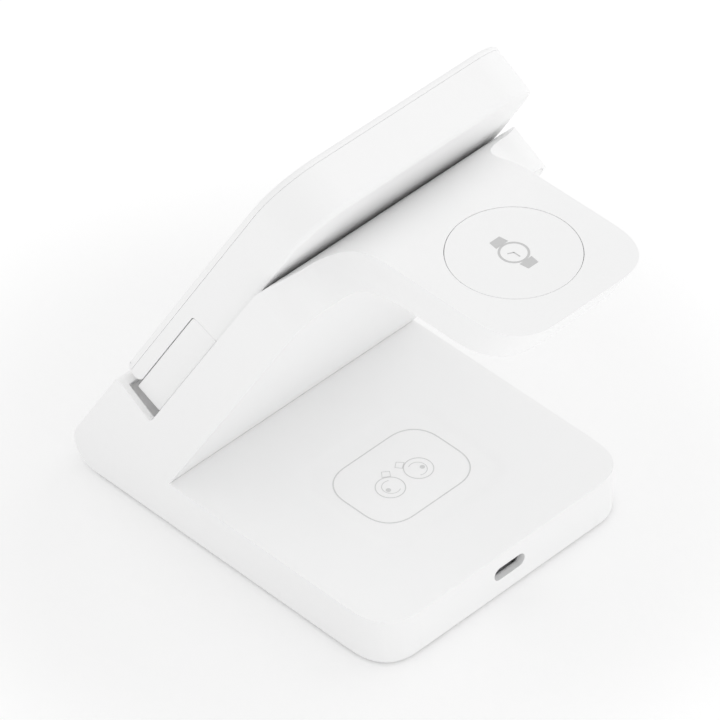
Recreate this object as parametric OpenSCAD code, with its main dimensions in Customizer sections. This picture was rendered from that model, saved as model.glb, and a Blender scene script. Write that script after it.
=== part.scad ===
// Three-place wireless charging stand: leaning phone panel, watch plate, earbud pad.
// Millimetres. X is across the stand, +Y points to the power inlet, +Z up.
// The origin is the middle of the base, on the surface that the stand rests on.

/* [Base] */
// Width of the base and the arm
base_w = 80; // [78:1:90]
// Depth of the base from nose to port face
base_d = 102; // [98:1:110]
// Thickness of the base slab
base_t = 12.5; // [12:0.5:14]
// Height of the base's underside above the table
foot_gap = 0.6; // [0.4:0.1:0.9]
// Length over which the port-end corners blend into the sides
base_corner = 13.5; // [10:0.5:16]
// Wall thickness of the moulded shell
wall = 2.4; // [2:0.1:2.6]

/* [Arm and watch plate] */
// Thickness of the leaning arm
arm_t = 12.66; // [12:0.02:13]
// Height of the arm frame's origin above the base's underside
arm_oz = 35.29; // [35:0.01:36]
// Distance of the arm frame's origin ahead of the base's middle
arm_oy = 20.9; // [20.5:0.1:21.5]
// Half width of the watch plate
plate_hw = 22.4; // [21.5:0.1:23]
// Height of the watch plate's top above the base's underside
plate_z = 101.5; // [101:0.5:103]
// Thickness of the watch plate
plate_t = 9.5; // [9:0.5:10]
// Distance from the arm's front plane back to the plate's end
plate_end = 48.5; // [47:0.5:50]
// Radius of the bend from the arm into the plate's top
bend_r = 31; // [20:1:31]
// Radius of each of the two arcs of a shoulder
shoulder_r = 8.8; // [8:0.1:9]
// Place along the arm where the shoulders start
shoulder_a = 62; // [60:0.5:64]
// Diameter of the watch disc
disc_d = 30.6; // [28:0.2:31]

/* [Phone panel] */
// Step from the side of the arm in to the side of the panel
side_step = 2.6; // [2.2:0.1:2.8]
// Front plane of the panel, ahead of the arm's front plane
panel_front_p = 13.6; // [13.5:0.05:13.8]
// Top of the panel along the arm
panel_top_a = 91.4; // [90.5:0.1:94]
// Foot of the panel along the arm
panel_foot_a = -5.85; // [-5.9:0.01:-5.8]
// Length over which the panel's top corners blend
panel_corner = 13.3; // [12:0.1:16]
// Wall thickness of the panel
panel_wall = 1.8; // [1.5:0.1:2]
// Gap between the panel and the arm
panel_gap = 0.25; // [0.2:0.05:0.3]
// Pivot of the panel, along the arm
pivot_a = -3.65; // [-3.7:0.01:-3.6]
// Pivot of the panel, ahead of the arm's front plane
pivot_p = 10.85; // [10.8:0.01:10.87]
// Radius of the hinge pins
pin_r = 1.0; // [0.9:0.05:1.1]

/* [Inner parts] */
// Thickness of the circuit boards
pcb_t = 1.2; // [1:0.2:1.6]
// Radius of the leads
lead_r = 0.9; // [0.7:0.1:1]
// Height of the power inlet's middle above the table
usb_z = 7.17; // [7:0.01:7.3]

/* [Hidden] */

$fn = 64;
eps = 0.01;
hw = base_w / 2;
phw = hw - side_step;
nose_p = 12.9;
dish = 0.34;
y0 = -base_d / 2;
y1 = base_d / 2;
z0 = foot_gap;
zt = z0 + base_t;
pz = z0 + plate_z;
pu = pz - plate_t;
oz = z0 + arm_oz;
oy = -arm_oy;
S = sin(60);
C = cos(60);
seam = 0.15;
disc_y = 50.4;
pad_y = 16.3;

// ---- 2-D helpers -------------------------------------------------------
function unit(v) = v / norm(v);
// points of a corner b between a and c, rounded with radius r
function corner(a, b, c, r, n = 10) = r <= 0 ? [[b.x, b.y]] :
  let (p0 = [a.x, a.y], p1 = [b.x, b.y], p2 = [c.x, c.y],
       u = unit(p0 - p1), v = unit(p2 - p1), ang = acos(u * v),
       t = r / tan(ang / 2), p = p1 + u * t, q = p1 + v * t,
       o = p1 + unit(u + v) * r / sin(ang / 2),
       s = atan2(p.y - o.y, p.x - o.x), e0 = atan2(q.y - o.y, q.x - o.x) - s,
       e = e0 > 180 ? e0 - 360 : e0 < -180 ? e0 + 360 : e0)
  [for (i = [0:n]) o + r * [cos(s + e * i / n), sin(s + e * i / n)]];
function rounded(p) = [for (i = [0:len(p) - 1])
  each corner(p[(i - 1 + len(p)) % len(p)], p[i], p[(i + 1) % len(p)],
              len(p[i]) > 2 ? p[i][2] : 0, len(p[i]) > 3 ? p[i][3] : 8)];
// quarter of a superellipse from (L, 0) to (0, L), measured from its own centre
function squircle(L, n, m = 12) = [for (i = [0:m])
  let (t = 90 * i / m) [L * pow(max(cos(t), 0), 2 / n), L * pow(max(sin(t), 0), 2 / n)]];
// rounded end: half width w, straight start at y = a, end at y = b, blend length L
function end_outline(w, a, b, L, n) =
  let (q = squircle(L, n))
  concat([[w, a]], [for (k = q) [w - L + k.x, b - L + k.y]],
         [for (i = [len(q) - 1:-1:0]) [-(w - L + q[i].x), b - L + q[i].y]], [[-w, a]]);
// a point of the arm's side section: a along the arm, p ahead of its front plane
function ap(a, p) = [oy + a * C - p * S, oz + a * S + p * C];
// where the line at p ahead of the arm's front plane crosses height z
function at_z(p, z) = let (a = (z - oz - p * C) / S) ap(a, p);

// ---- frames ------------------------------------------------------------
// section drawn in (Y, Z), extruded across X to both sides of x0
module across(x0, x1) { translate([x0, 0, 0]) rotate([90, 0, 90]) linear_extrude(x1 - x0) children(); }
// local (X, along the arm, ahead of the arm's front plane)
module arm_frame() { translate([0, oy, oz]) rotate([60, 0, 0]) children(); }
module pillar(x, y, za, zb, r) { translate([x, y, za]) cylinder(r = r, h = zb - za, $fn = 32); }
module lead(a, b, r) {
  v = b - a; L = norm(v);
  translate(a) rotate([0, acos(v.z / L), atan2(v.y, v.x)]) cylinder(r = r, h = L, $fn = 20);
  translate(a) sphere(r = r * 1.12, $fn = 20);
}

// ---- stand -------------------------------------------------------------
// outline of the arm and plate seen along the arm's normal, t inside the outer one
module shoulder_outline(t) {
  m = 14;
  w0 = hw - t; w1 = plate_hw - t; cx = hw - shoulder_r; a1 = shoulder_a + 2 * shoulder_r;
  r = shoulder_r;
  right = concat([[w0, -60]],
    [for (i = [0:m]) let (g = 90 * i / m) [cx + (r - t) * cos(g), shoulder_a + (r - t) * sin(g)]],
    [for (i = [0:m]) let (g = 270 - 90 * i / m) [cx + (r + t) * cos(g), a1 + (r + t) * sin(g)]],
    [[w1, 130]]);
  polygon(concat(right, [for (i = [len(right) - 1:-1:0]) [-right[i].x, right[i].y]]));
}
// envelope of the stand in plan and along the arm, t inside the outer faces
module envelope(t, zlow = -2) {
  translate([0, 0, zlow]) linear_extrude(50 - zlow)
    polygon(end_outline(hw - t, -70, y1 - t, base_corner - t * 0.8, 3));
  intersection() {
    arm_frame() translate([0, 0, -90]) linear_extrude(110) shoulder_outline(t > 0 ? t + 0.02 : 0);
    arm_frame() translate([0, 200, 0]) rotate([90, 0, 0]) linear_extrude(300)
      mirror([0, 1]) polygon(end_outline(hw + 5, -40, plate_end - t, 5, 3));
    arm_frame() translate([0, 200, 0]) rotate([90, 0, 0]) linear_extrude(300)
      mirror([0, 1]) polygon(concat([[hw + 5, -40], [hw + 5, 24]],
        end_outline(plate_hw - t, 24.5, plate_end - t, 13 - t * 0.8, 2.6), [[-hw - 5, 24], [-hw - 5, -40]]));
    translate([-60, -80, 49]) cube([120, 200, 100]);
  }
}
module stand_section() {
  nose = at_z(nose_p, z0);
  polygon(rounded([
    [nose.x, nose.y, 6.6, 16], [y1, z0, 0.4, 3], [y1, zt, 0.4, 3],
    [at_z(-arm_t, zt).x, zt],
    [at_z(-arm_t, pu).x, pu, 5, 8],
    [at_z(-plate_end, pu).x, pu], [at_z(-plate_end, pz).x, pz],
    [at_z(0, pz).x, pz, bend_r, 24],
    concat(ap(-8.5, 0), [1.2, 5]), concat(ap(-8.1, nose_p), [1.4, 5])]));
}
// hollow of the base, the nose, the arm and the plate, open below and at the arm's rear
module hollow_section() {
  fp = nose_p - wall;
  polygon(rounded([
    [-42, -1], [y1 - wall, -1], [y1 - wall, zt - wall], [-22.5, zt - wall], [-22.5, zt + 0.05],
    at_z(-arm_t - 1.4, zt + 0.05), at_z(-arm_t - 1.4, pu - wall),
    at_z(-plate_end + wall, pu - wall), at_z(-plate_end + wall, pz - wall),
    [at_z(-wall, pz - wall).x, pz - wall, bend_r - wall, 24],
    ap(-14.2, -wall), ap(-13.8, fp), at_z(fp, 14), [-42, 8]]));
}
cover_t = 2;
module cover_section(gap) {
  out = arm_t + (gap > 0 ? 0 : 1.4);
  low = gap > 0 ? pu : pu - wall;
  endp = -plate_end + 1 + gap;
  polygon(rounded([
    at_z(-out, zt + gap), [at_z(-out, low).x, low, gap > 0 ? 5 : 0, 8],
    at_z(endp, low), at_z(endp, pu + cover_t),
    [at_z(-arm_t + cover_t, pu + cover_t).x, pu + cover_t, 7, 8], at_z(-arm_t + cover_t, zt + gap)]));
}
module bottom_outline(t) { polygon(concat(end_outline(hw - t, -44 + t, y1 - t, base_corner - t * 0.8, 3))); }
bottom_screw_xy = [for (s = [-1, 1]) for (y = [-36, -6, 40]) [s * (y == 40 ? 26 : 32), y]];
module usb_slot(w, h, y_a, y_b) {
  translate([0, y_b, usb_z]) rotate([90, 0, 0]) linear_extrude(y_b - y_a) union() {
    square([w - h, h], center = true);
    for (s = [-1, 1]) translate([s * (w - h) / 2, 0]) circle(d = h, $fn = 32);
  }
}
hinge_x = 26.2;
hinge_screw_a = [12, 28];
module stand_shell() color("white") {
  difference() {
    union() {
      difference() {
        intersection() { across(-50, 50) stand_section(); envelope(0); }
        intersection() { across(-50, 50) hollow_section(); envelope(wall); }
        intersection() { across(-50, 50) cover_section(0); envelope(1); }
        translate([0, 0, -2]) linear_extrude(z0 + 2 + 2) bottom_outline(1);
      }
      // screw bosses under the base top
      for (p = bottom_screw_xy) pillar(p.x, p.y, z0 + 2, p.y < -22 ? 28 : zt - 1, 3);
      // bosses behind the arm's front that take the hinge block screws
      for (s = [-1, 1]) for (a = hinge_screw_a) arm_frame() translate([s * 33, a, -4.6]) cylinder(r = 2.6, h = 3, $fn = 32);
      // posts of the circuit board
      for (s = [-1, 1]) pillar(s * 18, 27, usb_z - 1.6, zt - 1, 2.4);
    }
    usb_slot(9.9, 3.7, y1 - 8, y1 + 2);
    // seat of the watch disc
    translate([0, disc_y, pz - wall - 1]) cylinder(r = disc_d / 2 + seam, h = wall + 2, $fn = 96);
    for (p = bottom_screw_xy) pillar(p.x, p.y, z0 - 1, z0 + 9, 1.0);
    for (s = [-1, 1]) for (a = hinge_screw_a) arm_frame() translate([s * 33, a, -6]) cylinder(r = 1.3, h = 8, $fn = 32);
    for (s = [-1, 1]) pillar(s * 18, 27, usb_z - 3, usb_z + 3, 0.9);
    // slot in the ledge under the panel's foot
    arm_frame() translate([-38.4, -11.6, 0.5]) cube([76.8, 6, 9.6]);
    // shallow dish of the earbud pad
    translate([0, pad_y, zt - dish]) linear_extrude(2) polygon(rounded([[-21.6, -18.4, 9], [21.6, -18.4, 9], [21.6, 18.4, 9], [-21.6, 18.4, 9]]));
    // passage of the panel's lead
    arm_frame() translate([-20, 4, -6]) cylinder(r = 1.6, h = 8, $fn = 32);
  }
}
module rear_cover() color("gainsboro") {
  difference() {
    union() {
      intersection() { across(-50, 50) cover_section(seam); envelope(1 + seam); }
      // stiffening ribs on the cover's inner face
      for (x = [-14, 14]) arm_frame() translate([x - 0.6, 8, -arm_t + cover_t - eps]) cube([1.2, 48, 2.2]);
    }
    translate([-60, -80, z0]) cube([120, 200, base_t + seam]);
  }
}
module bottom_cover() color("gainsboro") {
  difference() {
    translate([0, 0, z0]) linear_extrude(2) bottom_outline(1 + seam);
    // shallow seat of the pad
    translate([0, 0, z0 - 1]) linear_extrude(1.3) bottom_outline(5 - seam);
    for (p = bottom_screw_xy) {
      pillar(p.x, p.y, z0 - 1, z0 + 4, 1.2);
      pillar(p.x, p.y, z0 - 1, z0 + 1.1, 2.3);
    }
  }
}
module antislip_pad() color("dimgray") linear_extrude(z0 + 0.3) bottom_outline(5);
module screw(head_r, head_h, r, L) {
  difference() {
    cylinder(r = head_r, h = head_h, $fn = 32);
    for (a = [0, 90]) rotate([0, 0, a]) translate([-head_r * 0.6, -0.25, -1]) cube([head_r * 1.2, 0.5, 1 + head_h * 0.5]);
  }
  translate([0, 0, head_h]) cylinder(r = r, h = L, $fn = 32);
}
module bottom_screws() color("silver")
  for (p = bottom_screw_xy) translate([p.x, p.y, z0 + 0.35]) screw(2.1, 0.75, 0.9, 7);

// ---- inside the stand ----------------------------------------------------
module ballast_plate() color("slategray") difference() {
  translate([-34, -20, z0 + 2]) cube([68, 40, 2.0]);
  for (p = bottom_screw_xy) if (p.y == -6) pillar(p.x, p.y, 0, 8, 3.4);
}
board_z = usb_z - 1.63 - pcb_t;
module main_board() color("darkgreen") difference() {
  translate([-23, 22, board_z]) cube([46, 26, pcb_t]);
  for (s = [-1, 1]) pillar(s * 18, 27, 0, 9, 1.1);
}
module board_parts() color("dimgray") {
  z = board_z + pcb_t;
  for (x = [-19, -11]) translate([x, 38, z]) cube([6, 6, 2.6]);
  translate([8, 33, z]) cube([5, 5, 0.9]);
  translate([-4, 30, z]) cube([6, 6, 0.9]);
  for (i = [0:5]) translate([8 + i * 2.2, 41, z]) cube([1.2, 2, 1.1]);
  for (i = [0:3]) translate([-10 + i * 2.4, 25, z]) cube([1.6, 0.8, 0.6]);
  for (x = [14, 18]) pillar(x, 36, z, z + 3, 1.6);
}
module board_screws() color("silver") for (s = [-1, 1]) translate([s * 18, 27, board_z - 1.05]) screw(1.7, 1, 0.8, 3.6);
module usb_socket() color("silver") {
  difference() {
    usb_slot(8.94, 3.26, y1 - 9, y1 - 1.5);
    usb_slot(8.34, 2.66, y1 - 8, y1);
  }
  translate([-3.35, y1 - 8.2, usb_z - 0.35]) cube([6.7, 5.2, 0.7]);
}
module coil(ro, ri, h) { difference() { cylinder(r = ro, h = h, $fn = 96); translate([0, 0, -1]) cylinder(r = ri, h = h + 2, $fn = 96); } }
module earbud_coil() color("peru") translate([0, pad_y, zt - wall - 1.0]) coil(15.5, 8.5, 0.9);
module earbud_ferrite() color("dimgray") translate([-16.5, pad_y - 16.5, zt - wall - 1.8]) difference() {
  cube([33, 33, 0.7]);
  for (s = [-1, 1]) translate([16.5 + s * 18, 27 - pad_y + 16.5, -1]) cylinder(r = 3, h = 3, $fn = 32);
}
module watch_disc() color("white") translate([0, disc_y, pz]) {
  translate([0, 0, -wall]) cylinder(r = disc_d / 2, h = wall, $fn = 96);
  // flange under the plate, cut off ahead of the bend
  difference() {
    translate([0, 0, -wall - 0.9]) cylinder(r = disc_d / 2 + 2.2, h = 0.9, $fn = 96);
    translate([-30, -35, -wall - 2]) cube([60, 20, 4]);
  }
}
module watch_coil() color("peru") translate([0, disc_y, pz - wall - 1.9]) coil(12.5, 5.6, 0.95);
module watch_ferrite() color("dimgray") translate([0, disc_y, pz - wall - 2.6]) difference() {
  cylinder(r = 14.5, h = 0.65, $fn = 96);
  translate([0, 0, -1]) cylinder(r = 4.6, h = 3, $fn = 48);
}
module watch_magnet() color("silver") translate([0, disc_y, pz - wall - 2.7]) cylinder(r = 4.3, h = 1.75, $fn = 64);
// lead from the board up the arm to the watch coil
watch_route = [[6, 24, board_z + pcb_t + 1.15], [6, 16, z0 + 5.2], [6, -25.5, z0 + 5.2],
  concat([6], ap(-20, -6)), concat([6], ap(56, -4.6)), [6, disc_y - 28.7, pz - 7.6], [6, disc_y - 22.9, pz - 5.5], [6, disc_y - 17.5, pz - 6.35]];
module watch_lead() color("black") union() {
  for (i = [0:len(watch_route) - 2]) lead(watch_route[i], watch_route[i + 1], lead_r);
  translate([3.5, 22.6, board_z + pcb_t]) cube([5, 3.4, 2.4]);
}

// ---- hinge ---------------------------------------------------------------
block_top = 32.3;
block_foot = -6.4;
block_p = 8.4;
lug_x0 = 30; lug_x1 = 34;
module hinge_block(s) mirror([s < 0 ? 1 : 0, 0, 0]) arm_frame() difference() {
  union() {
    // body, flush with the side of the panel
    translate([hinge_x, 0, 0]) rotate([90, 0, 90]) linear_extrude(phw - hinge_x)
      polygon(rounded([[block_foot, 0, 0.5, 3], [block_top, 0, 1.2, 5], [block_top - 1.4, block_p, 1.5, 8], [block_foot - 0.9, block_p, 0.3, 2]]));
    // lug that carries the pin
    translate([lug_x0, pivot_a, pivot_p]) rotate([0, 90, 0]) cylinder(r = 2.25, h = lug_x1 - lug_x0, $fn = 48);
    translate([lug_x0, pivot_a - 1.5, block_p - 0.5]) cube([lug_x1 - lug_x0, 3.7, pivot_p - block_p + 0.5]);
  }
  translate([lug_x0 - 1, pivot_a, pivot_p]) rotate([0, 90, 0]) cylinder(r = pin_r, h = lug_x1 - lug_x0 + 2, $fn = 48);
  // fine seam against the arm
  translate([phw - 0.6, block_foot - 1, -1]) cube([2, block_top + 9, 1.85]);
  for (a = hinge_screw_a) translate([33, a, -1]) cylinder(r = 1.0, h = 6, $fn = 32);
}
module hinge_block_right() color("white") hinge_block(1);
module hinge_block_left() color("white") hinge_block(-1);
module hinge_screws() color("silver")
  for (s = [-1, 1]) for (a = hinge_screw_a) arm_frame() translate([s * 33, a, -4.62 - 1.4]) screw(2.4, 1.4, 0.9, 7.6);
module hinge_pins() color("silver")
  for (s = [-1, 1]) arm_frame() translate([s > 0 ? 27.6 : -phw + 2, pivot_a, pivot_p]) rotate([0, 90, 0]) cylinder(r = pin_r, h = phw - 29.6, $fn = 48);
module friction_washers() color("goldenrod")
  for (s = [-1, 1]) for (x = [lug_x0 - 0.4, lug_x1]) arm_frame()
    translate([s > 0 ? x : -x - 0.4, pivot_a, pivot_p]) rotate([0, 90, 0]) difference() {
      cylinder(r = 2.0, h = 0.4, $fn = 48);
      translate([0, 0, -1]) cylinder(r = pin_r + 0.02, h = 3, $fn = 48);
    }
// lead that crosses from the arm into the panel
module panel_lead() color("black") union() {
  arm_frame() {
    translate([-20, 4, -5]) cylinder(r = lead_r, h = 7.6, $fn = 20);
    translate([-20, 4, -5]) sphere(r = lead_r * 1.12, $fn = 20);
  }
  p = ap(4, -5); q = ap(-20, -5.2);
  lead([-20, p.x, p.y], [-20, q.x, q.y], lead_r);
  lead([-20, q.x, q.y], [-20, -26.5, z0 + 6.2], lead_r);
  lead([-20, -26.5, z0 + 6.2], [-14, 22.4, z0 + 6.2], lead_r);
  translate([-16.5, 22.4, board_z + pcb_t]) cube([5, 3, 2.4]);
}

// ---- phone panel -----------------------------------------------------------
seam_p = panel_front_p - 1.5;
sheet_t = 0.6;
module panel_outline(t, foot) {
  L = panel_corner - t * 0.85;
  polygon(end_outline(phw - t, foot, panel_top_a - t, L, 2.1));
}
foot_r = panel_front_p - pivot_p - 0.1;
module panel_solid() {
  difference() {
    translate([0, 0, panel_gap]) linear_extrude(seam_p - 0.06 - panel_gap) panel_outline(0, panel_foot_a);
    // round foot, concentric with the pivot
    difference() {
      translate([-50, panel_foot_a - 1, pivot_p - 3.5]) cube([100, pivot_a - panel_foot_a + 1, 8]);
      translate([-51, pivot_a, pivot_p]) rotate([0, 90, 0]) cylinder(r = pivot_a - panel_foot_a, h = 102, $fn = 96);
      translate([-52, panel_foot_a - 2, pivot_p - 3.6]) cube([104, 6, 1.25]);
    }
    // rear of the foot stays clear of the arm
    translate([-51, panel_foot_a - 1, -1]) cube([102, 1.1, block_p]);
    translate([-51, 0, 0]) rotate([90, 0, 90]) linear_extrude(102)
      polygon([[panel_foot_a - 1, -1], [pivot_a + 0.55, -1], [pivot_a + 0.55, panel_gap], [panel_foot_a + 0.1, 3], [panel_foot_a - 1, 3]]);
  }
}
module block_pocket(g) {
  for (s = [0, 1]) mirror([s, 0, 0]) {
    translate([hinge_x - g, panel_foot_a - 2, -1]) cube([hw, block_top + g - panel_foot_a + 2, block_p + 0.3 + g]);
  }
}
module panel_rear_shell() color("white") arm_frame() difference() {
  union() {
    difference() {
      panel_solid();
      // hollow, open to the front
      difference() {
        translate([0, 0, panel_gap + panel_wall]) linear_extrude(20) panel_outline(panel_wall, 2.4);
        block_pocket(panel_wall);
      }
    }
    // screw bosses
    for (p = panel_screw_xa) translate([p.x, p.y, panel_gap + 0.5]) cylinder(r = 2.6, h = seam_p - (p.y < 20 ? 1.3 : 1) - panel_gap - 0.5, $fn = 32);
    for (s = [-1, 1]) translate([s * 16, 14, panel_gap + 0.5]) cylinder(r = 2, h = 3.3, $fn = 32);
  }
  // pockets for the hinge blocks, the upper front corner rounded
  for (s = [0, 1]) mirror([s, 0, 0]) translate([hinge_x - 0.3, 0, 0]) rotate([90, 0, 90]) linear_extrude(hw)
    polygon(rounded([[panel_foot_a - 3, -1], [block_top + 0.25, -1], [block_top - 1.36, block_p + 0.25, 1.75, 8], [panel_foot_a - 3, block_p + 0.25]]));
  // slots for the lugs and bores for the pins
  for (s = [0, 1]) mirror([s, 0, 0]) {
    translate([lug_x0 - 0.6, panel_foot_a - 1, block_p - 1]) cube([lug_x1 - lug_x0 + 1.2, 6.2, 10]);
    translate([27.2, pivot_a, pivot_p]) rotate([0, 90, 0]) cylinder(r = pin_r + 0.05, h = phw - 28.8, $fn = 48);
  }
  for (p = panel_screw_xa) translate([p.x, p.y, panel_gap + 3]) cylinder(r = 0.9, h = 20, $fn = 32);
  // passage of the lead, long enough for the tilt
  translate([-20, 0.2, -1]) linear_extrude(4) union() { translate([-1.8, 0]) square([3.6, 4.4]); for (y = [0, 4.4]) translate([0, y]) circle(r = 1.8, $fn = 32); }
}
panel_screw_xa = [[-32, 48], [32, 48], [-17, 85], [17, 85], [-22, 6], [22, 6]];
module panel_front_cover() color("white") arm_frame() difference() {
  union() {
    intersection() {
      translate([0, 0, seam_p + 0.06]) linear_extrude(panel_front_p - seam_p - 0.06) panel_outline(0, panel_foot_a);
      front_foot();
    }
    // lip that closes the seam behind a shallow groove
    difference() {
      translate([0, 0, seam_p - 0.06]) linear_extrude(0.3) panel_outline(0.35, pivot_a + 0.4);
      translate([0, 0, seam_p - 2]) linear_extrude(4) panel_outline(1.6, pivot_a + 1.65);
    }
    // rim that locates the cover in the shell
    difference() {
      translate([0, 0, seam_p - 1.2]) linear_extrude(1.3) panel_outline(panel_wall + 0.2, 4.4);
      translate([0, 0, seam_p - 2]) linear_extrude(3) panel_outline(panel_wall + 1.2, 5.4);
    }
  }
  // seat of the face sheet
  translate([0, 0, panel_front_p - sheet_t]) linear_extrude(2) panel_outline(1.0, 2.0);
  for (p = panel_screw_xa) translate([p.x, p.y, seam_p - 2]) {
    cylinder(r = 1.1, h = 6, $fn = 32);
    translate([0, 0, 2.35]) cylinder(r = 2.1, h = 4, $fn = 32);
    if (p.y > 20) cylinder(r = 3.0, h = 2, $fn = 32);
  }
  for (s = [0, 1]) mirror([s, 0, 0]) translate([lug_x0 - 0.6, panel_foot_a - 1, block_p - 1]) cube([lug_x1 - lug_x0 + 1.2, 6.2, 10]);
}
// the front plate ends above the round foot
module front_foot() union() {
  translate([-50, pivot_a, 0]) cube([100, 120, 30]);
  translate([-51, pivot_a, pivot_p]) rotate([0, 90, 0]) cylinder(r = foot_r, h = 102, $fn = 96);
}
module panel_face_sheet() color("whitesmoke") arm_frame()
  translate([0, 0, panel_front_p - sheet_t]) linear_extrude(sheet_t) panel_outline(1.08, 2.08);
module phone_coil() color("peru") arm_frame() translate([0, 50, seam_p - 0.95]) coil(21, 10, 0.9);
module phone_ferrite() color("dimgray") arm_frame() translate([0, 50, seam_p - 1.7]) cylinder(r = 22, h = 0.7, $fn = 96);
module phone_magnets() color("silver") arm_frame() translate([0, 50, seam_p - 1.9])
  for (i = [0:15]) rotate([0, 0, i * 22.5 + 11.25]) translate([22.6, -4, 0]) cube([4.2, 8, 1.8]);
module panel_board() color("darkgreen") arm_frame() difference() {
  translate([-22, 9.5, panel_gap + 3.8]) cube([44, 16, pcb_t]);
  for (s = [-1, 1]) translate([s * 16, 14, 0]) cylinder(r = 1.1, h = 9, $fn = 32);
}
module panel_board_parts() color("dimgray") arm_frame() translate([0, 0, panel_gap + 3.8 + pcb_t]) {
  translate([-6, 13, 0]) cube([6, 6, 0.9]);
  translate([5, 12, 0]) cube([6, 6, 2.4]);
  for (i = [0:4]) translate([-14 + i * 2.4, 21, 0]) cube([1.4, 2.2, 1.1]);
  translate([-20, 11, 0]) cube([4, 3, 2.2]);
}
module panel_screws() color("silver") arm_frame() for (p = panel_screw_xa)
  translate([p.x, p.y, seam_p + 0.86]) mirror([0, 0, 1]) screw(1.9, 0.45, 0.8, 5);

stand_shell();
rear_cover();
bottom_cover();
antislip_pad();
bottom_screws();
ballast_plate();
main_board();
board_parts();
board_screws();
usb_socket();
earbud_coil();
earbud_ferrite();
watch_disc();
watch_coil();
watch_ferrite();
watch_magnet();
watch_lead();
hinge_block_right();
hinge_block_left();
hinge_screws();
hinge_pins();
friction_washers();
panel_lead();
panel_rear_shell();
panel_front_cover();
panel_face_sheet();
phone_coil();
phone_ferrite();
phone_magnets();
panel_board();
panel_board_parts();
panel_screws();
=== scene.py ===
import math
import bpy
import bmesh
from mathutils import Vector, Matrix


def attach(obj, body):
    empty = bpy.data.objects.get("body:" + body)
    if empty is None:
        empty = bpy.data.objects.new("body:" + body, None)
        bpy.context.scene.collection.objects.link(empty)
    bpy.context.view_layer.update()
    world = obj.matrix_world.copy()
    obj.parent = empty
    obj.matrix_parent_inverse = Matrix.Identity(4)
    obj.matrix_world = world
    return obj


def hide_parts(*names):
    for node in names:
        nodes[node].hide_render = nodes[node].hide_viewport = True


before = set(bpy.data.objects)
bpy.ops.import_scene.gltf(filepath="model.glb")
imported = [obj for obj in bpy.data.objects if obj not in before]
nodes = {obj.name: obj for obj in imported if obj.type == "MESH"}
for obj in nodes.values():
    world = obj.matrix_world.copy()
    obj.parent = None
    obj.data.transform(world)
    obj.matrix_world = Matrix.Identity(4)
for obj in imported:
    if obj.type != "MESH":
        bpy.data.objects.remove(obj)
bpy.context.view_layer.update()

scene = bpy.context.scene
MM = 0.001

# sizes in millimetres, as in the CAD model
HW = 40.0
Y1 = 51.0
Z0 = 0.6
ZT = 13.1
PZ = 102.1
PU = 92.6
OY, OZ = -20.9, 35.89
S60, C60 = math.sin(math.radians(60)), math.cos(math.radians(60))
DISC_Y = 50.4
DISC_R = 15.3
PAD_Y = 16.3
PANEL_P = 13.6
PANEL_W, PANEL_T, PANEL_R = 37.4, 91.4, 13.3
SEAM_P = PANEL_P - 1.5


def ap(a, p):
    """Y and Z of a point a along the arm and p ahead of its front plane."""
    return OY + a * C60 - p * S60, OZ + a * S60 + p * C60


def along(y, z):
    """the inverse of ap"""
    dy, dz = y - OY, z - OZ
    return dy * C60 + dz * S60, -dy * S60 + dz * C60


# ---------------------------------------------------------------- camera
cam_data = bpy.data.cameras.new("camera")
cam = bpy.data.objects.new("camera", cam_data)
scene.collection.objects.link(cam)
scene.camera = cam
CAM = Vector((0.83899, 0.84171, 1.10880))
fwd = Vector((-0.5254, -0.5254, -0.6693)).normalized()
up = Vector((-0.4732, -0.4732, 0.7430))
right = fwd.cross(up).normalized()
up = right.cross(fwd).normalized()
cam.matrix_world = Matrix((
    (right.x, up.x, -fwd.x, CAM.x),
    (right.y, up.y, -fwd.y, CAM.y),
    (right.z, up.z, -fwd.z, CAM.z),
    (0, 0, 0, 1)))
cam_data.sensor_width = 36
cam_data.lens = 349.27
cam_data.clip_start, cam_data.clip_end = 0.05, 20
cam_data.dof.use_dof = False


# ---------------------------------------------------------------- materials
def new_mat(name):
    m = bpy.data.materials.new(name)
    m.use_nodes = True
    nt = m.node_tree
    return m, nt, nt.nodes["Principled BSDF"]


def n(nt, kind, **props):
    node = nt.nodes.new(kind)
    for k, v in props.items():
        setattr(node, k, v)
    return node


def mix_colour(nt, fac, a, b):
    m = n(nt, "ShaderNodeMix", data_type="RGBA")
    nt.links.new(fac, m.inputs[0])
    m.inputs[6].default_value = (*a, 1)
    m.inputs[7].default_value = (*b, 1)
    return m.outputs[2]


def ramp(nt, fac, lo, hi):
    m = n(nt, "ShaderNodeMapRange")
    nt.links.new(fac, m.inputs["Value"])
    m.inputs["To Min"].default_value = lo
    m.inputs["To Max"].default_value = hi
    return m.outputs["Result"]


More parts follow.
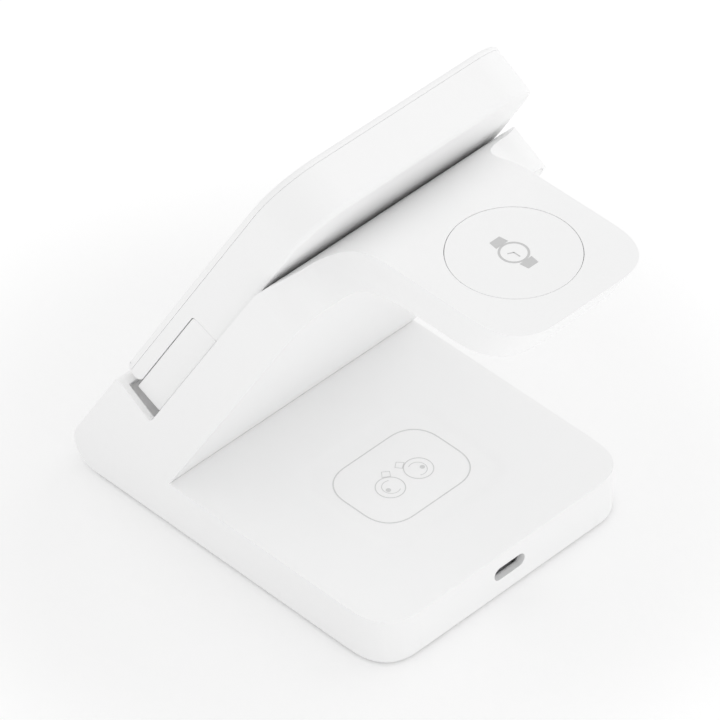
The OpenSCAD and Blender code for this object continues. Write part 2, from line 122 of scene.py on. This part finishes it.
def moulded(name, colour, spread=0.012, rough=(0.42, 0.5), grain=2600, grain_h=0.004, waves=0.0, spec=0.5, coat=0.0):
    """Matte moulded plastic: a faint cloudy tone, fine spark-eroded grain and slow changes of gloss."""
    m, nt, p = new_mat(name)
    tc = n(nt, "ShaderNodeTexCoord")
    cloud = n(nt, "ShaderNodeTexNoise")
    cloud.inputs["Scale"].default_value = 34
    cloud.inputs["Detail"].default_value = 4
    nt.links.new(tc.outputs["Object"], cloud.inputs["Vector"])
    lo = tuple(max(c - spread, 0) for c in colour)
    hi = tuple(min(c + spread, 1) for c in colour)
    nt.links.new(mix_colour(nt, cloud.outputs["Fac"], lo, hi), p.inputs["Base Color"])
    gloss = n(nt, "ShaderNodeTexNoise")
    gloss.inputs["Scale"].default_value = 130
    gloss.inputs["Detail"].default_value = 3
    nt.links.new(tc.outputs["Object"], gloss.inputs["Vector"])
    nt.links.new(ramp(nt, gloss.outputs["Fac"], *rough), p.inputs["Roughness"])
    fine = n(nt, "ShaderNodeTexNoise")
    fine.inputs["Scale"].default_value = grain
    fine.inputs["Detail"].default_value = 2
    nt.links.new(tc.outputs["Object"], fine.inputs["Vector"])
    bump = n(nt, "ShaderNodeBump")
    bump.inputs["Strength"].default_value = 0.35
    bump.inputs["Distance"].default_value = grain_h * MM
    nt.links.new(fine.outputs["Fac"], bump.inputs["Height"])
    nt.links.new(bump.outputs["Normal"], p.inputs["Normal"])
    p.inputs["Specular IOR Level"].default_value = spec
    p.inputs["Coat Weight"].default_value = coat
    return m


def metal(name, colour, rough=(0.25, 0.4), brushed=900, stretch=(1, 1, 12), bump_h=0.003):
    m, nt, p = new_mat(name)
    tc = n(nt, "ShaderNodeTexCoord")
    mp = n(nt, "ShaderNodeMapping")
    mp.inputs["Scale"].default_value = stretch
    nt.links.new(tc.outputs["Object"], mp.inputs["Vector"])
    t = n(nt, "ShaderNodeTexNoise")
    t.inputs["Scale"].default_value = brushed
    t.inputs["Detail"].default_value = 3
    nt.links.new(mp.outputs["Vector"], t.inputs["Vector"])
    lo = tuple(c * 0.88 for c in colour)
    nt.links.new(mix_colour(nt, t.outputs["Fac"], lo, colour), p.inputs["Base Color"])
    nt.links.new(ramp(nt, t.outputs["Fac"], *rough), p.inputs["Roughness"])
    bump = n(nt, "ShaderNodeBump")
    bump.inputs["Strength"].default_value = 0.3
    bump.inputs["Distance"].default_value = bump_h * MM
    nt.links.new(t.outputs["Fac"], bump.inputs["Height"])
    nt.links.new(bump.outputs["Normal"], p.inputs["Normal"])
    p.inputs["Metallic"].default_value = 1.0
    return m


WHITE = (0.945, 0.945, 0.945)
MATS = {
    "shell": moulded("white_moulding", WHITE),
    "cover": moulded("white_cover_moulding", (0.92, 0.92, 0.92), grain=2900),
    "panel": moulded("white_panel_moulding", WHITE, rough=(0.38, 0.46)),
    "disc": moulded("white_disc_moulding", (0.94, 0.94, 0.94), rough=(0.34, 0.42), grain=3400, grain_h=0.003),
    "face": moulded("soft_face_silicone", (0.86, 0.86, 0.86), rough=(0.55, 0.68), grain=1700, grain_h=0.008, spec=0.35),
    "pad": moulded("grey_foot_silicone", (0.42, 0.42, 0.43), spread=0.02, rough=(0.6, 0.75), grain=1500, grain_h=0.01, spec=0.3),
    "ink": moulded("grey_ink", (0.60, 0.60, 0.60), spread=0.015, rough=(0.5, 0.6), grain=3800, grain_h=0.001),
    "ink_light": moulded("pale_grey_ink", (0.68, 0.68, 0.68), spread=0.012, rough=(0.5, 0.6), grain=3800, grain_h=0.001),
    "steel": metal("zinc_plated_steel", (0.62, 0.62, 0.64)),
    "pin_steel": metal("ground_rod_steel", (0.6, 0.6, 0.62), rough=(0.18, 0.3), stretch=(0.4, 6, 6)),
    "socket": metal("drawn_steel", (0.60, 0.60, 0.61), rough=(0.22, 0.34), stretch=(6, 1, 6)),
    "ballast": metal("black_oxide_steel", (0.05, 0.052, 0.058), rough=(0.45, 0.6), stretch=(2, 2, 2), brushed=500),
    "pcb": moulded("green_solder_mask", (0.03, 0.16, 0.07), spread=0.015, rough=(0.28, 0.4), grain=900, coat=0.4),
    "chips": moulded("black_epoxy", (0.035, 0.035, 0.038), spread=0.008, rough=(0.45, 0.6), grain=2500),
    "copper": metal("enamelled_copper", (0.72, 0.32, 0.14), rough=(0.22, 0.35), stretch=(1, 1, 30), brushed=1500),
    "ferrite": moulded("dark_ferrite", (0.10, 0.10, 0.105), spread=0.02, rough=(0.55, 0.7), grain=1200),
    "magnet": metal("nickel_plated_magnet", (0.68, 0.67, 0.65), rough=(0.12, 0.24), stretch=(1, 1, 1), brushed=400),
    "washer": metal("bronze_washer", (0.62, 0.45, 0.2), rough=(0.3, 0.42), stretch=(8, 1, 1)),
    "lead": moulded("black_lead_jacket", (0.03, 0.03, 0.032), spread=0.006, rough=(0.5, 0.62), grain=1800),
}
NODE_SLOT = {
    "stand_shell": "shell", "rear_cover": "cover", "bottom_cover": "cover", "antislip_pad": "pad",
    "bottom_screws": "steel", "ballast_plate": "ballast", "main_board": "pcb", "board_parts": "chips",
    "board_screws": "steel", "usb_socket": "socket", "earbud_coil": "copper", "earbud_ferrite": "ferrite",
    "watch_disc": "disc", "watch_coil": "copper", "watch_ferrite": "ferrite", "watch_magnet": "magnet",
    "watch_lead": "lead", "hinge_block_right": "shell", "hinge_block_left": "shell", "hinge_screws": "steel",
    "hinge_pins": "pin_steel", "friction_washers": "washer", "panel_lead": "lead",
    "panel_rear_shell": "panel", "panel_front_cover": "panel", "panel_face_sheet": "face",
    "phone_coil": "copper", "phone_ferrite": "ferrite", "phone_magnets": "magnet", "panel_board": "pcb",
    "panel_board_parts": "chips", "panel_screws": "steel",
}
for name, o in nodes.items():
    mat = MATS[NODE_SLOT[name]]
    o.data.materials.clear()
    o.data.materials.append(mat)


# ---------------------------------------------------------------- skins of the moulded parts
def clean_copy(node, name):
    """the node's mesh, welded and with its flat areas as single faces"""
    src = nodes[node]
    bm = bmesh.new()
    bm.from_mesh(src.data)
    bmesh.ops.remove_doubles(bm, verts=bm.verts, dist=2e-6)
    bmesh.ops.dissolve_degenerate(bm, edges=bm.edges, dist=1e-6)
    bmesh.ops.dissolve_limit(bm, angle_limit=math.radians(0.35), verts=bm.verts, edges=bm.edges)
    bmesh.ops.recalc_face_normals(bm, faces=bm.faces)
    return bm


def sharp_edges(bm, least=25, test=None):
    out = []
    for e in bm.edges:
        if len(e.link_faces) != 2:
            continue
        if e.calc_face_angle(0) < math.radians(least):
            continue
        if test is None or test(e):
            out.append(e)
    return out


def finish_skin(bm, node, name, slot, body, width, edges_test, least=25, segments=3, smooth=30, clamp=True):
    me = bpy.data.meshes.new(name)
    lay = bm.edges.layers.float.get("bevel_weight_edge") or bm.edges.layers.float.new("bevel_weight_edge")
    for e in bm.edges:
        e[lay] = 0.0
    count = 0
    for e in sharp_edges(bm, least, edges_test):
        e[lay] = 1.0 if edges_test is None else float(edges_test(e))
        count += 1
    bm.to_mesh(me)
    bm.free()
    o = bpy.data.objects.new(name, me)
    scene.collection.objects.link(o)
    me.materials.append(MATS[slot])
    for p in me.polygons:
        p.use_smooth = True
    if count:
        b = o.modifiers.new("round", "BEVEL")
        b.width = width * MM
        b.segments = segments
        b.limit_method = "WEIGHT"
        b.use_clamp_overlap = clamp
        b.miter_outer = "MITER_ARC"
        b.loop_slide = True
    t = o.modifiers.new("tri", "TRIANGULATE")
    t.keep_custom_normals = False
    t.min_vertices = 5
    w = o.modifiers.new("shade", "WEIGHTED_NORMAL")
    w.mode = "FACE_AREA"
    w.keep_sharp = True
    w.weight = 80
    try:
        with bpy.context.temp_override(object=o, active_object=o, selected_objects=[o], selected_editable_objects=[o]):
            bpy.ops.object.shade_smooth_by_angle(angle=math.radians(smooth))
    except Exception:
        me.set_sharp_from_angle(angle=math.radians(smooth))
    # keep the weighted normals last
    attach(o, body)
    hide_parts(node)
    return o


def near(a, b, t=0.06):
    return abs(a - b) < t


def outer_side(co):
    """0 = inside the shell, 1 = on an outer face of the stand (mm)"""
    x, y, z = co.x / MM, co.y / MM, co.z / MM
    a, p = along(y, z)
    if z < Z0 + 0.45:
        return False
    if near(z, ZT) and y > -19.6:
        return True
    if near(z, PZ) or near(z, PU) or near(abs(x), HW):
        return True
    return near(p, 0) or near(p, -12.66)


def stand_skin():
    bm = clean_copy("stand_shell", "stand_skin")
    # the plain pocket of the earbud pad is taken out and its rim closed
    def in_pocket(v):
        return abs(v.co.x / MM) < 21.7 and abs(v.co.y / MM - PAD_Y) < 18.5 and ZT - 0.36 < v.co.z / MM < ZT + 0.005
    gone = [f for f in bm.faces if all(in_pocket(v) for v in f.verts) and f.calc_center_median().z / MM < ZT - 0.01]
    bmesh.ops.delete(bm, geom=gone, context="FACES")
    hole = [e for e in bm.edges if len(e.link_faces) == 1 and all(in_pocket(v) for v in e.verts)]
    if hole:
        bmesh.ops.holes_fill(bm, edges=hole, sides=0)
        bmesh.ops.recalc_face_normals(bm, faces=bm.faces)
        flat = [f for f in bm.faces if f.normal.z > 0.999 and all(near(v.co.z / MM, ZT, 0.01) for v in f.verts)]
        bmesh.ops.dissolve_faces(bm, faces=flat)
    # the base's top becomes a sheet with a shallow, soft-edged dish round the earbud pad
    top = max((f for f in bm.faces if f.normal.z > 0.999 and near(f.calc_center_median().z / MM, ZT, 0.02)),
              key=lambda f: f.calc_area())
    bmesh.ops.inset_region(bm, faces=[top], thickness=0.9 * MM, use_even_offset=True)
    inner = max((f for f in bm.faces if f.normal.z > 0.999 and near(f.calc_center_median().z / MM, ZT, 0.02)),
                key=lambda f: f.calc_area())
    rim = list(inner.edges)
    bmesh.ops.delete(bm, geom=[inner], context="FACES_ONLY")
    hx, hy, cy, depth, soft, rc = 25.0, 22.0, PAD_Y, 0.34, 3.6, 9.0
    nx, ny = 84, 74

    def sink(x, y):
        qx, qy = abs(x) - (21.6 - rc), abs(y - cy) - (18.4 - rc)
        d = math.hypot(max(qx, 0), max(qy, 0)) + min(max(qx, qy), 0) - rc  # below 0 inside the dish
        t = min(max((-d) / soft, 0), 1)
        return depth * t * t * (3 - 2 * t)

    grid = [[bm.verts.new(((-hx + 2 * hx * i / nx) * MM, (cy - hy + 2 * hy * j / ny) * MM,
                           (ZT - sink(-hx + 2 * hx * i / nx, cy - hy + 2 * hy * j / ny)) * MM))
             for j in range(ny + 1)] for i in range(nx + 1)]
    for i in range(nx):
        for j in range(ny):
            f = bm.faces.new((grid[i][j], grid[i + 1][j], grid[i + 1][j + 1], grid[i][j + 1]))
            f.smooth = True
    loop = [grid[i][0] for i in range(nx)] + [grid[nx][j] for j in range(ny)] \
        + [grid[i][ny] for i in range(nx, 0, -1)] + [grid[0][j] for j in range(ny, 0, -1)]
    edges = []
    for k, v in enumerate(loop):
        e = bm.edges.get((v, loop[(k + 1) % len(loop)]))
        edges.append(e)
    res = bmesh.ops.triangle_fill(bm, use_beauty=True, use_dissolve=False, edges=rim + edges, normal=(0, 0, 1))
    for g in res["geom"]:
        if isinstance(g, bmesh.types.BMFace) and g.normal.z < 0:
            g.normal_flip()

    def test(e):
        a, b = e.verts
        if not (outer_side(a.co) and outer_side(b.co)):
            return False
        m = (a.co + b.co) / 2
        return outer_side(m)

    return finish_skin(bm, "stand_shell", "stand_skin", "shell", "stand", 0.3, test, smooth=25)


def on_outline(x, a, t=0.07):
    """on the panel's side, top or corner"""
    x = abs(x)
    if a > PANEL_T - PANEL_R and x > PANEL_W - PANEL_R:
        u, v = (x - PANEL_W + PANEL_R) / PANEL_R, (a - PANEL_T + PANEL_R) / PANEL_R
        return (u ** 2.1 + v ** 2.1) ** (1 / 2.1) * PANEL_R > PANEL_R - t
    return x > PANEL_W - t or a > PANEL_T - t


def panel_skin(node, name):
    bm = clean_copy(node, name)
    # the seam's two lips are drawn to a hairline
    for v in bm.verts:
        a, p = along(v.co.y / MM, v.co.z / MM)
        if on_outline(v.co.x / MM, a):
            d = 0
            if near(p, SEAM_P + 0.06, 0.015):
                d = -0.04
            elif near(p, SEAM_P - 0.06, 0.015):
                d = 0.04
            v.co.y -= d * S60 * MM
            v.co.z += d * C60 * MM

    def test(e):
        ps = []
        for v in e.verts:
            a, p = along(v.co.y / MM, v.co.z / MM)
            if not on_outline(v.co.x / MM, a):
                return 0
            ps.append(p)
        if all(near(p, PANEL_P, 0.02) for p in ps):
            return 0.77
        if all(near(p, 0.25, 0.02) for p in ps):
            return 1.0
        if all(near(p, SEAM_P, 0.08) for p in ps):
            return 0.03
        return 0.16

    return finish_skin(bm, node, name, "panel", "phone_panel", 1.2, test, segments=4, clamp=False)


def block_skin(node, name):
    bm = clean_copy(node, name)

    def test(e):
        return all(near(abs(v.co.x / MM), PANEL_W, 0.05) for v in e.verts)

    return finish_skin(bm, node, name, "shell", "stand", 0.15, test, segments=2)


def disc_skin():
    bm = clean_copy("watch_disc", "watch_disc_skin")

    def test(e):
        return all(near(v.co.z / MM, PZ, 0.01) for v in e.verts)

    return finish_skin(bm, "watch_disc", "watch_disc_skin", "disc", "stand", 0.08, test, segments=2)


stand_skin()
panel_skin("panel_rear_shell", "panel_rear_skin")
panel_skin("panel_front_cover", "panel_front_skin")
block_skin("hinge_block_right", "hinge_block_right_skin")
block_skin("hinge_block_left", "hinge_block_left_skin")
disc_skin()

for name in ("rear_cover", "bottom_cover", "antislip_pad", "panel_face_sheet", "usb_socket"):
    me = nodes[name].data
    for p in me.polygons:
        p.use_smooth = True


# ---------------------------------------------------------------- prints
def ribbon(bm, pts, width, z, closed=True, thick=0.03):
    """a flat printed line along pts (mm), as a thin closed solid"""
    m = len(pts)
    left, rght = [], []
    for i in range(m):
        a = pts[(i - 1) % m] if closed or i > 0 else pts[i]
        b = pts[(i + 1) % m] if closed or i < m - 1 else pts[i]
        d = Vector((b[0] - a[0], b[1] - a[1]))
        d.normalize()
        nrm = Vector((-d.y, d.x)) * width / 2
        left.append((pts[i][0] + nrm.x, pts[i][1] + nrm.y))
        rght.append((pts[i][0] - nrm.x, pts[i][1] - nrm.y))
    rings = []
    for (l, r) in zip(left, rght):
        rings.append([bm.verts.new((l[0] * MM, l[1] * MM, (z + thick) * MM)), bm.verts.new((r[0] * MM, r[1] * MM, (z + thick) * MM)),
                      bm.verts.new((r[0] * MM, r[1] * MM, z * MM)), bm.verts.new((l[0] * MM, l[1] * MM, z * MM))])
    last = m if closed else m - 1
    for i in range(last):
        a, b = rings[i], rings[(i + 1) % m]
        for k in range(4):
            bm.faces.new((a[k], a[(k + 1) % 4], b[(k + 1) % 4], b[k]))
    if not closed:
        bm.faces.new(rings[0])
        bm.faces.new(list(reversed(rings[-1])))


def patch(bm, pts, z, thick=0.03):
    """a filled printed shape with the convex outline pts (mm)"""
    a = [bm.verts.new((x * MM, y * MM, (z + thick) * MM)) for x, y in pts]
    b = [bm.verts.new((x * MM, y * MM, z * MM)) for x, y in pts]
    bm.faces.new(a)
    bm.faces.new(list(reversed(b)))
    for i in range(len(pts)):
        j = (i + 1) % len(pts)
        bm.faces.new((a[i], b[i], b[j], a[j]))


def arc(cx, cy, r, a0, a1, m):
    return [(cx + r * math.cos(math.radians(a0 + (a1 - a0) * i / m)), cy + r * math.sin(math.radians(a0 + (a1 - a0) * i / m)))
            for i in range(m + 1)]


def circle(cx, cy, r, m=72):
    return arc(cx, cy, r, 0, 360, m)[:-1]


def soft_rect(cx, cy, hx, hy, r, nexp=2.25, m=14):
    pts = []
    for sx, sy, flip in ((1, 1, False), (-1, 1, True), (-1, -1, False), (1, -1, True)):
        q = []
        for i in range(m + 1):
            t = math.radians(90 * i / m)
            q.append((r * max(math.cos(t), 0) ** (2 / nexp), r * max(math.sin(t), 0) ** (2 / nexp)))
        if flip:
            q.reverse()
        pts += [(cx + sx * (hx - r + k[0]), cy + sy * (hy - r + k[1])) for k in q]
    return pts


def printed(bm, name, slot, body):
    bmesh.ops.recalc_face_normals(bm, faces=bm.faces)
    me = bpy.data.meshes.new(name)
    bm.to_mesh(me)
    bm.free()
    o = bpy.data.objects.new(name, me)
    scene.collection.objects.link(o)
    me.materials.append(MATS[slot])
    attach(o, body)
    return o


DISH = ZT - 0.34
bm = bmesh.new()
ribbon(bm, soft_rect(0, PAD_Y, 15.4, 11.3, 8.2), 0.34, DISH - 0.002)
printed(bm, "earbud_pad_ring_print", "ink_light", "stand")

# a plain pair of round stemless buds, side by side
bm = bmesh.new()
for s in (-1, 1):
    cx, cy = s * 4.6, PAD_Y + 0.9
    ribbon(bm, circle(cx, cy, 3.5), 0.26, DISH - 0.002)
    ribbon(bm, arc(cx - s * 0.25, cy, 2.2, 60, 300, 40) if s < 0 else arc(cx - s * 0.25, cy, 2.2, -120, 120, 40), 0.2, DISH - 0.002, closed=False)
    tip = [(cx - s * 2.7, cy - 2.6), (cx - s * 3.7, cy - 4.0), (cx - s * 2.2, cy - 5.1), (cx - s * 1.0, cy - 3.7)]
    ribbon(bm, tip, 0.24, DISH - 0.002)
    patch(bm, circle(cx + s * 0.95, cy + 0.3, 0.62, 24), DISH - 0.002)
printed(bm, "earbud_pictogram_print", "ink_light", "stand")

# a plain round-dial watch with two strap ends
bm = bmesh.new()
ribbon(bm, circle(0, DISC_Y, 3.3), 0.55, PZ - 0.002)
for s in (-1, 1):
    patch(bm, [(-1.9, DISC_Y + s * 3.55), (1.9, DISC_Y + s * 3.55), (1.55, DISC_Y + s * 6.0), (-1.55, DISC_Y + s * 6.0)], PZ - 0.002)
ribbon(bm, [(0, DISC_Y - 0.1), (0, DISC_Y + 1.9)], 0.34, PZ - 0.002, closed=False)
ribbon(bm, [(-0.1, DISC_Y), (1.35, DISC_Y - 0.7)], 0.34, PZ - 0.002, closed=False)
printed(bm, "watch_pictogram_print", "ink", "stand")

# ---------------------------------------------------------------- floor, light, world
fm, nt, p = new_mat("pale_floor")
tc = n(nt, "ShaderNodeTexCoord")
t = n(nt, "ShaderNodeTexNoise")
t.inputs["Scale"].default_value = 3
nt.links.new(tc.outputs["Object"], t.inputs["Vector"])
nt.links.new(mix_colour(nt, t.outputs["Fac"], (0.945, 0.945, 0.945), (0.955, 0.955, 0.955)), p.inputs["Base Color"])
p.inputs["Roughness"].default_value = 0.9
p.inputs["Specular IOR Level"].default_value = 0.0
p.inputs["Emission Color"].default_value = (1, 1, 1, 1)
# the floor glows, with emission 0.045 within 75 mm of the centre rising to 0.15 beyond 140 mm; the weaker glow paints a
# shade on the floor round the stand
dist = n(nt, "ShaderNodeVectorMath", operation="LENGTH")
nt.links.new(tc.outputs["Object"], dist.inputs[0])
floor_glow_painted_shade = n(nt, "ShaderNodeMapRange", interpolation_type="SMOOTHSTEP")
nt.links.new(dist.outputs["Value"], floor_glow_painted_shade.inputs["Value"])
floor_glow_painted_shade.inputs["From Min"].default_value = 0.075
floor_glow_painted_shade.inputs["From Max"].default_value = 0.14
floor_glow_painted_shade.inputs["To Min"].default_value = 0.045
floor_glow_painted_shade.inputs["To Max"].default_value = 0.15
nt.links.new(floor_glow_painted_shade.outputs["Result"], p.inputs["Emission Strength"])
bpy.ops.mesh.primitive_plane_add(size=12, location=(0, 0, -0.00003))
floor = bpy.context.object
floor.name = "floor"
floor.data.materials.append(fm)

world = bpy.data.worlds.new("studio") if scene.world is None else scene.world
scene.world = world
world.use_nodes = True
bg = world.node_tree.nodes.get("Background")
bg.inputs[0].default_value = (1, 1, 1, 1)
bg.inputs[1].default_value = 0.82


def area(name, loc, target, size, power):
    d = bpy.data.lights.new(name, "AREA")
    d.shape = "SQUARE"
    d.size = size
    d.energy = power
    o = bpy.data.objects.new(name, d)
    scene.collection.objects.link(o)
    o.location = loc
    o.rotation_euler = (Vector(target) - Vector(loc)).to_track_quat("-Z", "Y").to_euler()
    return o


area("overhead", (0.25, -0.1, 1.9), (0, 0, 0), 1.6, 2.8)
area("far_side", (-1.5, 0.25, 1.0), (0, 0, 0.04), 1.5, 3.2)
area("inlet_side", (-0.25, 1.7, 0.6), (0, 0, 0.06), 1.3, 2.1)
scene.cycles.diffuse_bounces = 8
scene.cycles.max_bounces = 12

scene.view_settings.view_transform = "Standard"
scene.view_settings.look = "None"
scene.view_settings.exposure = 0
scene.view_settings.gamma = 1
